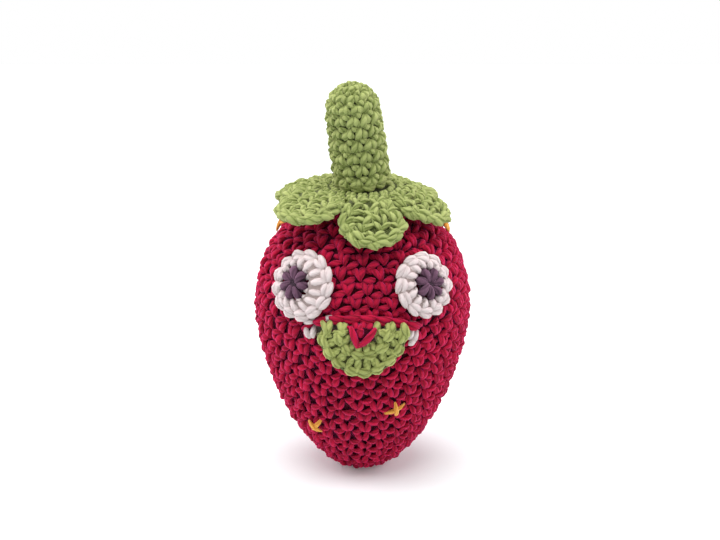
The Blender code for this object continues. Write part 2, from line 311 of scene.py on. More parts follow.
# Each yarn's material: its own colour, its darker colour for random tone and the painted shade in its ply
# grooves, its painted shade colour for the sheet behind, its sheen tint along its edge and the sheen's
# weight
YARN_COLOURS = {
    "red": ("red_yarn", (198, 12, 60), (120, 5, 28), (62, 3, 12), (255, 80, 165), 0.6),
    "green": ("green_yarn", (174, 185, 115), (102, 116, 54), (66, 74, 30), (225, 235, 180), 0.35),
    "tongue": ("tongue_green_yarn", (176, 184, 110), (108, 116, 56), (70, 72, 32), (225, 235, 175), 0.5),
    "white": ("white_yarn", (222, 210, 209), (200, 185, 184), (180, 162, 158), (255, 250, 250), 0.15),
    "purple": ("purple_yarn", (116, 82, 103), (62, 40, 56), (30, 16, 24), (190, 150, 180), 0.5),
    "yellow": ("yellow_thread", (236, 172, 76), (204, 132, 46), (120, 70, 20), (255, 235, 180), 0.5),
}
YARN = {}
for key, (label, *colours, sheen) in YARN_COLOURS.items():
    YARN[key] = yarn_material(label, *(srgb(*colour) for colour in colours), sheen)
FIBRE = fibre_material("fibre_filling")


# ---------------------------------------------------------------- yarn strands


def strand_mesh(sides=7, rings=7):
    """One strand of yarn, 1 long along Y and 1 thick, bowed so that both ends dip under."""
    mesh = bpy.data.meshes.new("yarn_strand")
    shape = bmesh.new()
    uv = shape.loops.layers.uv.new("yarn")
    rows = []
    for ring in range(rings):
        share = 0.5 - 0.5 * math.cos(math.pi * ring / (rings - 1))
        fullness = math.sin(math.pi * (0.06 + 0.88 * share)) ** 0.55
        radius = 0.5 * fullness * (0.80 + 0.20 * share)
        dip = -0.55 * (2.0 * share - 1.0) ** 2
        row = []
        for side in range(sides):
            turn = math.tau * side / sides - math.pi / 2
            place = (radius * math.cos(turn), share - 0.5, dip + radius * math.sin(turn))
            row.append(shape.verts.new(place))
        rows.append(row)
    for ring in range(rings - 1):
        for side in range(sides):
            after = (side + 1) % sides
            face = shape.faces.new(
                (rows[ring][side], rows[ring + 1][side], rows[ring + 1][after], rows[ring][after])
            )
            corners = ((side, ring), (side, ring + 1), (side + 1, ring + 1), (side + 1, ring))
            for loop, (across, step) in zip(face.loops, corners):
                loop[uv].uv = (across / sides, step / (rings - 1))
    for row in (rows[0], rows[-1]):
        face = shape.faces.new(row)
        for loop in face.loops:
            loop[uv].uv = (0.5, 0.0 if row is rows[0] else 1.0)
    bmesh.ops.recalc_face_normals(shape, faces=shape.faces)
    for face in shape.faces:
        face.smooth = True
    shape.to_mesh(mesh)
    shape.free()
    return mesh


def strand_tree():
    """Sets one strand on each guide point, turned and sized by the point's own attributes."""
    group = bpy.data.node_groups.new("yarn_strands", "GeometryNodeTree")
    face = group.interface
    face.new_socket("Geometry", in_out="INPUT", socket_type="NodeSocketGeometry")
    face.new_socket("Strand", in_out="INPUT", socket_type="NodeSocketObject")
    face.new_socket("Yarn", in_out="INPUT", socket_type="NodeSocketMaterial")
    face.new_socket("Size Jitter", in_out="INPUT", socket_type="NodeSocketFloat")
    face.new_socket("Turn Jitter", in_out="INPUT", socket_type="NodeSocketFloat")
    face.new_socket("Place Jitter", in_out="INPUT", socket_type="NodeSocketFloat")
    face.new_socket("Seed", in_out="INPUT", socket_type="NodeSocketInt")
    face.new_socket("Geometry", in_out="OUTPUT", socket_type="NodeSocketGeometry")
    tree = Tree(group)
    given = tree.node("NodeGroupInput", {}, {})
    given_out = {s.name: s for s in given.outputs}

    def random_vector(reach, offset):
        seed = tree.node("ShaderNodeMath", {"operation": "ADD"}, {0: given_out["Seed"], 1: offset})
        low = tree.node("ShaderNodeMath", {"operation": "MULTIPLY"}, {0: reach, 1: -1.0})
        return tree.node(
            "FunctionNodeRandomValue",
            {"data_type": "FLOAT_VECTOR"},
            {"Min": low.outputs[0], "Max": reach, "Seed": seed.outputs[0]},
        )

    moved = tree.node(
        "GeometryNodeSetPosition",
        {},
        {"Geometry": given_out["Geometry"], "Offset": random_vector(given_out["Place Jitter"], 1)},
    )
    turn = tree.node("GeometryNodeInputNamedAttribute", {"data_type": "FLOAT_VECTOR"}, {"Name": "turn"})
    size = tree.node("GeometryNodeInputNamedAttribute", {"data_type": "FLOAT_VECTOR"}, {"Name": "size"})
    base_turn = tree.node("FunctionNodeEulerToRotation", {}, {"Euler": turn})
    extra_turn = tree.node(
        "FunctionNodeEulerToRotation", {}, {"Euler": random_vector(given_out["Turn Jitter"], 2)}
    )
    turned = tree.node(
        "FunctionNodeRotateRotation",
        {"rotation_space": "LOCAL"},
        {"Rotation": base_turn, "Rotate By": extra_turn},
    )
    grown = tree.node(
        "ShaderNodeVectorMath",
        {"operation": "ADD"},
        {0: random_vector(given_out["Size Jitter"], 3), 1: (1.0, 1.0, 1.0)},
    )
    scaled = tree.node("ShaderNodeVectorMath", {"operation": "MULTIPLY"}, {0: size, 1: grown.outputs[0]})
    strand = tree.node(
        "GeometryNodeObjectInfo", {"transform_space": "ORIGINAL"}, {"Object": given_out["Strand"]}
    )
    laid = tree.node(
        "GeometryNodeInstanceOnPoints",
        {},
        {
            "Points": moved,
            "Instance": tree.socket(strand.outputs, "Geometry"),
            "Rotation": turned,
            "Scale": scaled.outputs[0],
        },
    )
    shade_seed = tree.node("ShaderNodeMath", {"operation": "ADD"}, {0: given_out["Seed"], 1: 4})
    shade = tree.node(
        "FunctionNodeRandomValue",
        {"data_type": "FLOAT"},
        {"Min": 0.0, "Max": 1.0, "Seed": shade_seed.outputs[0]},
    )
    shaded = tree.node(
        "GeometryNodeStoreNamedAttribute",
        {"data_type": "FLOAT", "domain": "INSTANCE"},
        {"Geometry": laid, "Name": "shade", "Value": shade},
    )
    real = tree.node("GeometryNodeRealizeInstances", {}, {"Geometry": shaded})
    painted = tree.node("GeometryNodeSetMaterial", {}, {"Geometry": real, "Material": given_out["Yarn"]})
    tree.node("NodeGroupOutput", {}, {"Geometry": painted})
    return group


STRAND_TREE = strand_tree()
STRAND = bpy.data.objects.new("yarn_strand", strand_mesh())


class Strands:
    """Short lengths of yarn: where each lies, which way it runs and how big it is."""

    def __init__(self):
        self.places = []
        self.turns = []
        self.sizes = []

    def lay(self, start, end, out, thick, spare=1.12, flat=1.0):
        """One strand from its thin end to its full end, with its round side outwards."""
        along = end - start
        side = along.cross(out).normalized()
        along_way = along.normalized()
        outwards = side.cross(along_way)
        self.places.append((start + end) / 2.0)
        self.turns.append(Matrix((side, along_way, outwards)).transposed().to_euler())
        self.sizes.append((thick, along.length * spare, thick * flat))

    def chain(self, path, outs, link, thick, spread=0.42, closed=False):
        """A braided edge along a path: two strands for each link, leaning apart like a V."""
        points = resample(path, path, link, closed)
        ways = resample(path, outs, link, closed)
        last = len(points) if closed else len(points) - 1
        for step in range(last):
            here = points[step]
            after = points[(step + 1) % len(points)]
            out = ways[step].normalized()
            across = (after - here).cross(out).normalized()
            for side in (-1.0, 1.0):
                start = here + across * side * thick * 0.18 - out * thick * 0.1
                end = here + (after - here) * 1.12 + across * side * thick * (0.18 + spread)
                self.lay(start, end, out + across * side * 0.35, thick, 1.1)

    def mesh(self, name, yarn, seed, size_jitter=0.08, turn_jitter=0.10, place_jitter=0.12 * MM):
        """The strands as one plain mesh."""
        guide = bpy.data.meshes.new(name + "_guide")
        guide.from_pydata([tuple(p) for p in self.places], [], [])
        for label, values in (("turn", self.turns), ("size", self.sizes)):
            layer = guide.attributes.new(label, "FLOAT_VECTOR", "POINT")
            layer.data.foreach_set("vector", np.array([tuple(v) for v in values], np.float32).ravel())
        holder = bpy.data.objects.new(name + "_guide", guide)
        bpy.context.scene.collection.objects.link(holder)
        modifier = holder.modifiers.new("strands", "NODES")
        modifier.node_group = STRAND_TREE
        given = {
            "Strand": STRAND,
            "Yarn": yarn,
            "Size Jitter": size_jitter,
            "Turn Jitter": turn_jitter,
            "Place Jitter": place_jitter,
            "Seed": seed,
        }
        for item in STRAND_TREE.interface.items_tree:
            if item.in_out == "INPUT" and item.name in given:
                modifier[item.identifier] = given[item.name]
        depsgraph = bpy.context.evaluated_depsgraph_get()
        made = bpy.data.meshes.new_from_object(holder.evaluated_get(depsgraph))
        bpy.data.objects.remove(holder, do_unlink=True)
        made.name = name
        return made


def resample(path, values, step, closed):
    """What goes with each point of a path, read at places about a step apart."""
    points = list(path) + ([path[0]] if closed else [])
    carried = list(values) + ([values[0]] if closed else [])
    lengths = [0.0]
    for before, after in zip(points, points[1:]):
        lengths.append(lengths[-1] + (after - before).length)
    count = max(3, round(lengths[-1] / step))
    places = np.linspace(0.0, lengths[-1], count + 1)
    table = np.array([tuple(v) for v in carried])
    read = [np.interp(places, lengths, table[:, axis]) for axis in range(3)]
    made = [Vector(v) for v in zip(*read)]
    return made[:-1] if closed else made


# ---------------------------------------------------------------- reading the frame


def tree_of(node):
    """A CAD node as a tree that rays can be cast at."""
    mesh = frame["nodes"][node].data
    points = [v.co.copy() for v in mesh.vertices]
    return BVHTree.FromPolygons(points, [tuple(p.vertices) for p in mesh.polygons])


def first_hit(trees, start, way):
    """The place where a ray first meets any of the trees, and its face's way out, or nothing."""
    found = [tree.ray_cast(start, way) for tree in trees]
    found = [hit for hit in found if hit[0] is not None]
    return min(found, key=lambda hit: hit[3])[:2] if found else None


def nearest_place(trees, place):
    """The place nearest to a point on any of the trees."""
    return min((tree.find_nearest(place) for tree in trees), key=lambda near: near[3])[0]


def middle_of(node):
    """The middle of a CAD node's box."""
    low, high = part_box(node)
    return (low + high) / 2.0


def points_of(node):
    """A CAD node's points, one in each row."""
    return np.array([tuple(v.co) for v in frame["nodes"][node].data.vertices])


def azimuth_of(place):
    """The azimuth at which a place lies."""
    return math.atan2(place.x, -place.y)


def outwards_at(azimuth):
    """The level way out at an azimuth."""
    return Vector((math.sin(azimuth), -math.cos(azimuth), 0.0))


def hinge_of(name):
    """The place of a joint."""
    return Vector(next(j for j in frame["joints"] if j["name"] == name)["pos_m"])


class Outline:
    """A turned outline, measured along itself from the middle of its foot to its top."""

    STEP = 0.5 * MM

    def __init__(self, points, smoothing=7):
        points = np.array(points)
        lengths = np.concatenate(([0.0], np.cumsum(np.linalg.norm(np.diff(points, axis=0), axis=1))))
        self.marks = np.arange(0.0, lengths[-1], self.STEP)
        table = [np.interp(self.marks, lengths, points[:, axis]) for axis in range(2)]
        half = smoothing // 2
        weights = np.hanning(smoothing + 2)[1:-1]
        weights /= weights.sum()
        before = (-table[0][half:0:-1], table[1][half:0:-1])
        after = (-table[0][-2 : -half - 2 : -1], table[1][-2 : -half - 2 : -1])
        self.radius, self.height = (
            np.convolve(np.concatenate((before[i], table[i], after[i])), weights, "valid") for i in range(2)
        )
        self.length = self.marks[-1]

    def at(self, distance):
        """Radius, height, and the outward way's share along the radius and upwards."""
        radius = np.interp(distance, self.marks, self.radius)
        height = np.interp(distance, self.marks, self.height)
        ends = (distance + self.STEP, distance - self.STEP)
        run = np.subtract(*np.interp(ends, self.marks, self.radius))
        rise = np.subtract(*np.interp(ends, self.marks, self.height))
        size = math.hypot(run, rise) or 1.0
        return float(radius), float(height), float(rise / size), float(-run / size)

    def distance_at(self, height):
        """How far along the outline a height is reached."""
        return float(np.interp(height, self.height, self.marks))


def body_outline():
    """The body's outline, read from behind, where nothing is cut out of it."""
    low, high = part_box("body_cover")
    tree = tree_of("body_cover")
    far = high.y * 2.0
    side = []
    for step in range(1, 90):
        height = low.z + (high.z - low.z) * 0.5 * (1.0 - math.cos(math.pi * step / 90))
        hit = tree.ray_cast(Vector((0.0, far, height)), Vector((0.0, -1.0, 0.0)))[0]
        side.append((hit.y, height))
    return Outline([(0.0, low.z), (side[0][0], low.z), *side, (0.0, high.z)])


BODY = body_outline()
MOUTH_LOW, MOUTH_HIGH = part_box("mouth_lining")
MOUTH_MIDDLE = (MOUTH_LOW + MOUTH_HIGH) / 2.0
MOUTH_HALF_WIDTH = (MOUTH_HIGH.x - MOUTH_LOW.x) / 2.0
SLIT = BODY.distance_at(MOUTH_MIDDLE.z)
SLIT_RISE = (MOUTH_HIGH.z - MOUTH_LOW.z) / 2.0
LIFT_FADE = 11.0 * MM
DROP_FADE = 15.0 * MM


def mouth_share(azimuth, distance):
    """How far to the side of the mouth's middle a place lies: 1 at the corners, 1 or more beyond."""
    if math.cos(azimuth) <= 0.0:
        return 1.0
    return abs(BODY.at(distance)[0] * math.sin(azimuth) - MOUTH_MIDDLE.x) / MOUTH_HALF_WIDTH


def parted(azimuth, distance):
    """Where a row lies once the mouth has pushed the rows above it up and those below it down."""
    share = mouth_share(azimuth, distance)
    if share >= 1.0:
        return distance
    opening = SLIT_RISE * math.sqrt(1.0 - share**2)
    if distance >= SLIT:
        return distance + opening * math.exp(-(distance - SLIT) / LIFT_FADE)
    return distance - opening * math.exp(-(SLIT - distance) / DROP_FADE)


def body_place(azimuth, distance, lift=0.0, part=True):
    """A point on the body and the way out of it."""
    if part:
        distance = parted(azimuth, distance)
    radius, height, away, rise = BODY.at(distance)
    out = outwards_at(azimuth) * away + UP * rise
    return outwards_at(azimuth) * radius + UP * height + out * lift, out


def body_way_out(azimuth, height):
    """The body's way out at an azimuth and a height."""
    return body_place(azimuth, BODY.distance_at(height), part=False)[1]


# ---------------------------------------------------------------- putting pieces together


def under_sheet(node, depth):
    """A copy of a CAD node drawn inwards, to close the holes between the stitches over it."""
    shape = bmesh.new()
    shape.from_mesh(frame["nodes"][node].data)
    bmesh.ops.remove_doubles(shape, verts=shape.verts, dist=0.01 * MM)
    shape.normal_update()
    for vertex in shape.verts:
        vertex.co -= vertex.normal * depth
    return shape


def join_rings(shape, rings):
    """Faces between each ring of points and the next."""
    for below, above in zip(rings, rings[1:]):
        for column in range(len(below)):
            after = (column + 1) % len(below)
            shape.faces.new((below[column], below[after], above[after], above[column]))


def smooth_mesh(name, shape, material):
    """The shape as a smooth mesh of one material."""
    mesh = bpy.data.meshes.new(name)
    for face in shape.faces:
        face.smooth = True
    shape.to_mesh(mesh)
    shape.free()
    mesh.materials.clear()
    mesh.materials.append(material)
    return mesh


def sheet_mesh(name, shape, yarn, tone=HOLE_SHADE_TONE):
    """A finished sheet with the yarn's own map; by default its tone paints it in the yarn's shade colour, a
    painted shadow in the holes between the strands over it.
    """
    mesh = smooth_mesh(name, shape, yarn)
    for layer in list(mesh.uv_layers):
        mesh.uv_layers.remove(layer)
    mesh.uv_layers.new(name="yarn")
    shade = mesh.attributes.new("shade", "FLOAT", "POINT")
    shade.data.foreach_set("value", np.full(len(mesh.vertices), tone, np.float32))
    return mesh


def joined(name, meshes):
    """Several meshes as one object."""
    made = []
    for mesh in meshes:
        thing = bpy.data.objects.new(name, mesh)
        bpy.context.scene.collection.objects.link(thing)
        made.append(thing)
    if len(made) > 1:
        with bpy.context.temp_override(
            active_object=made[0], selected_editable_objects=made, selected_objects=made
        ):
            bpy.ops.object.join()
    made[0].name = name
    made[0].data.name = name
    return made[0]


# ---------------------------------------------------------------- body


def body_rows():
    """Foot, pitch and number of stitches of each row, from the tip up to the crown."""
    below = round(SLIT / PITCH_BELOW_MOUTH)
    end = BODY.length - ROWS_END
    above = round((end - SLIT) / PITCH_ABOVE_MOUTH)
    rows = [(SLIT * k / below, SLIT / below) for k in range(below)]
    rows += [(SLIT + (end - SLIT) * k / above, (end - SLIT) / above) for k in range(above)]
    made = []
    for foot, pitch in rows:
        radius = BODY.at(foot + pitch / 2.0)[0]
        made.append((foot, pitch, max(6, round(math.tau * radius / STITCH_WIDTH))))
    return made


def body_strands():
    """Rounds of V-shaped stitches from the tip to the crown, parted by the mouth."""
    strands = Strands()
    phase = 0.2
    for foot, pitch, count in body_rows():
        cell = math.tau / count
        phase += ROW_DRIFT * cell
        squeeze = min(1.0, BODY.at(foot + pitch / 2.0)[0] * cell / STITCH_WIDTH)
        for number in range(count):
            middle = phase + number * cell
            for start, end, share, deeper in STITCH:
                ends = []
                for across, rise in (start, end):
                    if foot == SLIT and mouth_share(middle + across * cell, SLIT) < 1.0:
                        rise = max(rise, CLEAR_OF_MOUTH)
                    ends.append(body_place(middle + across * cell, foot + rise * pitch)[0])
                across, rise = (start[0] + end[0]) / 2.0, (start[1] + end[1]) / 2.0
                _, out = body_place(middle + across * cell, foot + rise * pitch)
                sink = out * (FABRIC_DEPTH + deeper * MM)
                strands.lay(ends[0] - sink, ends[1] - sink, out, RED_THICK * share * squeeze, 1.12, 0.86)
    return strands


def body_sheet():
    """The sheet behind the stitches, open at the mouth."""
    shape = bmesh.new()
    columns = 72
    for low, high, rows in ((0.0, SLIT, 28), (SLIT, BODY.length, 22)):
        grid = []
        for row in range(rows + 1):
            distance = low + (high - low) * row / rows
            if low == SLIT and row == 0:
                distance += HAIR
            if high == SLIT and row == rows:
                distance -= HAIR
            ring = []
            for column in range(columns):
                place, out = body_place(math.tau * column / columns, distance)
                ring.append(shape.verts.new(place - out * SHEET_DEPTH))
            grid.append(ring)
        join_rings(shape, grid)
    bmesh.ops.remove_doubles(shape, verts=shape.verts, dist=MERGE)
    bmesh.ops.recalc_face_normals(shape, faces=shape.faces)
    return shape


def make_body():
    """The body's stitches over their sheet."""
    fabric = body_strands().mesh("body_fabric", YARN["red"], 11, 0.12, 0.20, 0.28 * MM)
    sheet = sheet_mesh("body_sheet", body_sheet(), YARN["red"])
    body = joined("body_fabric", [fabric, sheet])
    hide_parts("body_cover")
    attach(body, "body")


# ---------------------------------------------------------------- mouth


def make_lip():
    """The chained edge of the upper lip."""
    points = points_of("upper_lip_ridge")
    levels = np.linspace(points[:, 0].min() + 3.0 * MM, points[:, 0].max() - 0.8 * MM, 25)
    path = []
    for level in levels:
        near = points[np.abs(points[:, 0] - level) < 1.6 * MM]
        path.append(Vector((level, near[:, 1].mean(), near[:, 2].mean())))
    outs = []
    for place in path:
        out = body_way_out(azimuth_of(place), place.z)
        outs.append((out - UP * 0.25).normalized())
    for place, out in zip(path, outs):
        corner = max(0.0, min(1.0, (-8.0 * MM - place.x) / (8.0 * MM)))
        place -= out * 0.9 * MM
        place.z += (1.6 * corner - 0.8) * MM
    strands = Strands()
    strands.chain(path, outs, 5.0 * MM, 2.2 * MM, 0.22)
    lip = joined("upper_lip_chain", [strands.mesh("upper_lip_chain", YARN["red"], 21)])
    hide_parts("upper_lip_ridge")
    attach(lip, "body")


# White loops at the corners of the mouth: side, then start and end outwards and upwards of its middle
MOUTH_LOOPS = (
    (-1.0, (18.0, 1.9), (14.2, 2.6)),
    (-1.0, (17.2, 0.4), (16.8, -3.6)),
    (-1.0, (15.0, 1.2), (15.2, -2.8)),
    (-1.0, (13.0, 3.4), (8.6, 4.4)),
    (1.0, (18.4, 0.8), (15.0, 1.9)),
    (1.0, (17.4, 0.2), (17.0, -4.6)),
    (1.0, (15.6, 0.8), (15.8, -4.0)),
    (1.0, (16.4, -3.2), (15.4, -5.8)),
)


def make_lining():
    """The white pocket behind the mouth, with loops of its yarn at both corners."""
    shape = bmesh.new()
    columns, rows = 40, 7
    edge = []
    for column in range(columns):
        turn = math.tau * column / columns
        across = MOUTH_HALF_WIDTH * 0.98 * math.cos(turn)
        rise = SLIT_RISE * 0.97 * math.sin(turn)
        height = MOUTH_MIDDLE.z + rise
        radius = BODY.at(BODY.distance_at(height))[0] - SHEET_DEPTH * 0.9
        x = MOUTH_MIDDLE.x + across
        edge.append(Vector((x, -math.sqrt(radius**2 - x**2), height)))
    depth = (MOUTH_HIGH.y - MOUTH_LOW.y) * 0.75
    grid = []
    for row in range(rows):
        share = row / (rows - 1)
        ring = []
        for place in edge:
            inner = Vector((MOUTH_MIDDLE.x, 0.0, MOUTH_MIDDLE.z))
            shrink = math.cos(share * math.pi / 2 * 0.98)
            moved = inner + (place - inner) * shrink
            moved.y = place.y * shrink + (1.0 - shrink) * MOUTH_LOW.y * 0.95
            moved.y += depth * math.sin(share * math.pi / 2)
            ring.append(shape.verts.new(moved))
        grid.append(ring)
    join_rings(shape, grid)
    shape.faces.new(grid[-1])
    bmesh.ops.recalc_face_normals(shape, faces=shape.faces)
    if sum(face.normal.y for face in shape.faces) > 0.0:
        bmesh.ops.reverse_faces(shape, faces=shape.faces)
    sheet = sheet_mesh("mouth_sheet", shape, YARN["white"], MOUTH_TONE)

    strands = Strands()
    for side, (x0, z0), (x1, z1) in MOUTH_LOOPS:
        ends = []
        for x, z in ((x0, z0), (x1, z1)):
            x = MOUTH_MIDDLE.x + side * x * MM
            z = MOUTH_MIDDLE.z + z * MM
            radius = BODY.at(BODY.distance_at(z))[0]
            ends.append(body_place(math.asin(x / radius), BODY.distance_at(z), 0.1 * MM, False))
        strands.lay(ends[0][0], ends[1][0], ends[0][1] + ends[1][1], WHITE_THICK, 1.15)
    loops = strands.mesh("mouth_loops", YARN["white"], 22, turn_jitter=0.3)
    lining = joined("mouth_pocket", [loops, sheet])
    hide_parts("mouth_lining")
    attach(lining, "body")


# ---------------------------------------------------------------- eyes


class Disc:
    """A round piece on the body, read in its own turn and distance from the middle."""

    def __init__(self, node, neighbour):
        self.centre = middle_of(node)
        self.out = body_way_out(azimuth_of(self.centre), self.centre.z)
        self.across = UP.cross(self.out).normalized() * -1.0
        self.along = self.out.cross(self.across)
        points = points_of(node) - np.array(self.centre)
        flat = points - np.outer(points @ np.array(self.out), np.array(self.out))
        self.radius = float(np.linalg.norm(flat, axis=1).max())
        self.trees = [tree_of(node), tree_of(neighbour)]

    def at(self, turn, distance, depth=0.0):
        """A point on the outer face, and the way out of it."""
        flat = self.across * math.cos(turn) + self.along * math.sin(turn)
        level = self.centre + flat * distance
        place, normal = first_hit(self.trees, level + self.out * 20.0 * MM, -self.out) or (
            nearest_place(self.trees, level),
            self.out,
        )
        out = (self.out * 0.8 + normal * 0.2).normalized()
        return place - out * depth, out


def rim_of(disc, distance, depth, lean):
    """A closed path round a disc near its edge, and the way out at each point."""
    path, outs = [], []
    for step in range(48):
        turn = math.tau * step / 48
        place, out = disc.at(turn, distance, depth)
        away = disc.across * math.cos(turn) + disc.along * math.sin(turn)
        path.append(place)
        outs.append((out + away * lean).normalized())
    return path, outs


def make_eye(side, rim_inset, seed):
    """A white round with a braided rim, and the purple round in its middle."""
    white_node = f"{side}_eye_white"
    pupil_node = f"{side}_eye_pupil"
    white = Disc(white_node, pupil_node)
    pupil = Disc(pupil_node, white_node)
    rim = white.radius - rim_inset
    strands = Strands()
    path, outs = rim_of(white, rim, 0.9 * MM, 0.30)
    strands.chain(path, outs, 4.8 * MM, WHITE_THICK * 1.15, 0.30, closed=True)

    # The white round fills the space between the pupil and the rim, wider on one side
    cell = math.tau / EYE_STITCHES
    for number in range(EYE_STITCHES):
        middle = (number + 0.3) * cell
        start, _ = pupil.at(middle, pupil.radius * 0.90, 0.9 * MM)
        end, _ = white.at(middle + 0.5 * cell, rim - 0.9 * MM, 0.8 * MM)
        if (end - start).dot(end - white.centre) > 0.0:
            strands.lay(start, end, white.out, WHITE_THICK * 1.2, 1.15)
    fabric = strands.mesh(f"{side}_eye_round", YARN["white"], seed)
    sheet = sheet_mesh(f"{side}_eye_sheet", under_sheet(white_node, 1.2 * MM), YARN["white"])
    whole = joined(f"{side}_eye_round", [fabric, sheet])
    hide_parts(white_node)
    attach(whole, "body")

    strands = Strands()
    for number in range(PUPIL_STITCHES):
        turn = math.tau * (number + 0.3) / PUPIL_STITCHES
        start, _ = pupil.at(turn, 1.9 * MM, 0.3 * MM)
        end, _ = pupil.at(turn + 0.25, pupil.radius + 0.2 * MM, 0.3 * MM)
        strands.lay(start, end, pupil.out, PUPIL_THICK, 1.15)
    fabric = strands.mesh(f"{side}_pupil", YARN["purple"], seed + 1, turn_jitter=0.14)
    sheet = sheet_mesh(f"{side}_pupil_sheet", under_sheet(pupil_node, 1.3 * MM), YARN["purple"])
    whole = joined(f"{side}_pupil", [fabric, sheet])
    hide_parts(pupil_node)
    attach(whole, "body")


# ---------------------------------------------------------------- seeds


def make_seed(node, seed):
    """A cross of two sewn yarn ends, the upright one over the other."""
    centre = middle_of(node)
    out = body_way_out(azimuth_of(centre), centre.z)
    points = points_of(node) - np.array(centre)
    long_way = Vector(np.linalg.eigh(points.T @ points)[1][:, -1])
    long_way = (long_way - out * long_way.dot(out)).normalized()
    cross_way = out.cross(long_way)
    strands = Strands()
    for way, reach, lift in ((long_way, 3.9, 0.3), (cross_way + long_way * 0.15, 3.1, 0.8)):
        tips = []
        for side in (-1.0, 1.0):
            tip = centre + way * reach * side * MM
            tips.append(body_place(azimuth_of(tip), BODY.distance_at(tip.z), lift * MM, False)[0])
        strands.lay(tips[0], tips[1], out, SEED_THICK, 1.0)
    made = joined(node + "_cross", [strands.mesh(node + "_cross", YARN["yellow"], seed)])
    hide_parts(node)
    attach(made, "body")


# ---------------------------------------------------------------- stem


STEM_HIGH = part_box("stem_cover")[1]
COLLAR_LOW, COLLAR_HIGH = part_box("stem_base_round")
STEM_PIVOT = hinge_of("stem_bend")
STEM_FOOT = Vector((STEM_PIVOT.x + 0.7 * MM, 0.0, COLLAR_LOW.z))
STEM_RADIUS = (COLLAR_HIGH.x - COLLAR_LOW.x) / 2.0
STEM_ROWS = 8
STEM_STITCHES = 12
STEM_STITCH_WIDTH = 4.4 * MM
STEM_DEPTH = 1.1 * MM
STEM_SHEET_DEPTH = 2.3 * MM
STEM_WHOLE = STEM_HIGH.z - COLLAR_LOW.z
SIDEWAYS = Vector((1.0, 0.0, 0.0))
BACKWARDS = Vector((0.0, 1.0, 0.0))

# One stem stitch: start and end of each strand across and up its cell, and its thickness
STEM_STITCH = (
    ((0.05, 0.98), (-0.32, 0.06), 1.0),
    ((0.08, 0.92), (0.40, 0.14), 0.95),
    ((0.26, 1.10), (0.80, 0.84), 0.9),
)


def stem_outline():
    """The stem's outline about its own middle line: a tube with a round tip, from foot to tip."""
    tip = STEM_RADIUS * 0.95
    points = [(0.0, -0.2 * MM)]
    for share, rise in ((0.99, 0.0), (1.0, 0.15), (0.97, 0.5)):
        points.append((STEM_RADIUS * share, STEM_WHOLE * rise))
    steps = 12
    for step in range(steps + 1):
        turn = math.pi / 2 * step / steps
        points.append((tip * math.cos(turn), STEM_WHOLE - tip + tip * math.sin(turn)))
    return Outline(points)


STEM = stem_outline()
STEM_START = STEM.distance_at(0.4 * MM)
STEM_TIP = max(points_of("stem_cover"), key=lambda point: point[2])
STEM_REACH = (float(STEM_TIP[0]) - STEM_PIVOT.x) * 1.25  # how far the tip leans to one side
STEM_LEAN_POWER = 1.1


def stem_middle(height):
    """The middle line at a height above the foot, and the way it runs there: it bends to one side."""
    share = max(0.0, min(1.0, height / STEM_WHOLE))
    place = STEM_FOOT + UP * height + SIDEWAYS * STEM_REACH * share**STEM_LEAN_POWER
    slope = STEM_REACH * STEM_LEAN_POWER * share ** (STEM_LEAN_POWER - 1.0) / STEM_WHOLE
    return place, (SIDEWAYS * slope + UP).normalized()


def stem_place(azimuth, distance, lift=0.0):
    """A point on the stem and the way out of it."""
    radius, height, away, rise = STEM.at(distance)
    middle, way = stem_middle(height)
    across = BACKWARDS.cross(way).normalized()
    flat = across * math.sin(azimuth) - BACKWARDS * math.cos(azimuth)
    out = flat * away + way * rise
    return middle + flat * radius + out * lift, out


def stem_strands():
    """Rounds of stitches from the foot to the tip, with a chain round the foot."""
    strands = Strands()
    length = STEM.length - STEM_START
    pitch = (length - 2.0 * MM) / (STEM_ROWS + 1)
    phase = 0.1
    for row in range(STEM_ROWS + 1):
        foot = STEM_START + row * pitch
        radius = STEM.at(foot + pitch / 2.0)[0]
        count = min(STEM_STITCHES, max(5, round(math.tau * radius / STEM_STITCH_WIDTH)))
        cell = math.tau / count
        phase += 0.45 * cell
        for number in range(count):
            middle = phase + number * cell
            for (u0, v0), (u1, v1), share in STEM_STITCH:
                start, _ = stem_place(middle + u0 * cell, foot + v0 * pitch, -STEM_DEPTH)
                end, _ = stem_place(middle + u1 * cell, foot + v1 * pitch, -STEM_DEPTH)
                _, out = stem_place(middle + (u0 + u1) / 2.0 * cell, foot + (v0 + v1) / 2.0 * pitch)
                strands.lay(start, end, out, STEM_THICK * share, 1.12, 0.9)
    foot_path, foot_outs = [], []
    for step in range(32):
        place, out = stem_place(math.tau * step / 32, STEM_START + 1.0 * MM, -0.9 * MM)
        foot_path.append(place)
        foot_outs.append(out)
    strands.chain(foot_path, foot_outs, 4.6 * MM, GREEN_THICK, 0.2, closed=True)
    return strands


def stem_sheet():
    """The sheet behind the stem's stitches."""
    shape = bmesh.new()
    columns, rows = 32, 24
    grid = []
    for row in range(rows + 1):
        distance = STEM_START + (STEM.length - STEM_START) * row / rows
        ring = []
        for column in range(columns):
            place, _ = stem_place(math.tau * column / columns, distance, -STEM_SHEET_DEPTH)
            ring.append(shape.verts.new(place))
        grid.append(ring)
    join_rings(shape, grid)
    bmesh.ops.remove_doubles(shape, verts=shape.verts, dist=MERGE)
    bmesh.ops.recalc_face_normals(shape, faces=shape.faces)
    return shape


def make_stem():
    """The stem's stitches over their sheet, its middle line leaning to one side towards the tip."""
    fabric = stem_strands().mesh("stem_fabric", YARN["green"], 31, 0.10, 0.2, 0.2 * MM)
    sheet = sheet_mesh("stem_sheet", stem_sheet(), YARN["green"])
    stem = joined("stem_fabric", [fabric, sheet])
    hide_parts("stem_cover", "stem_base_round")
    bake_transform(stem)


# ---------------------------------------------------------------- crown


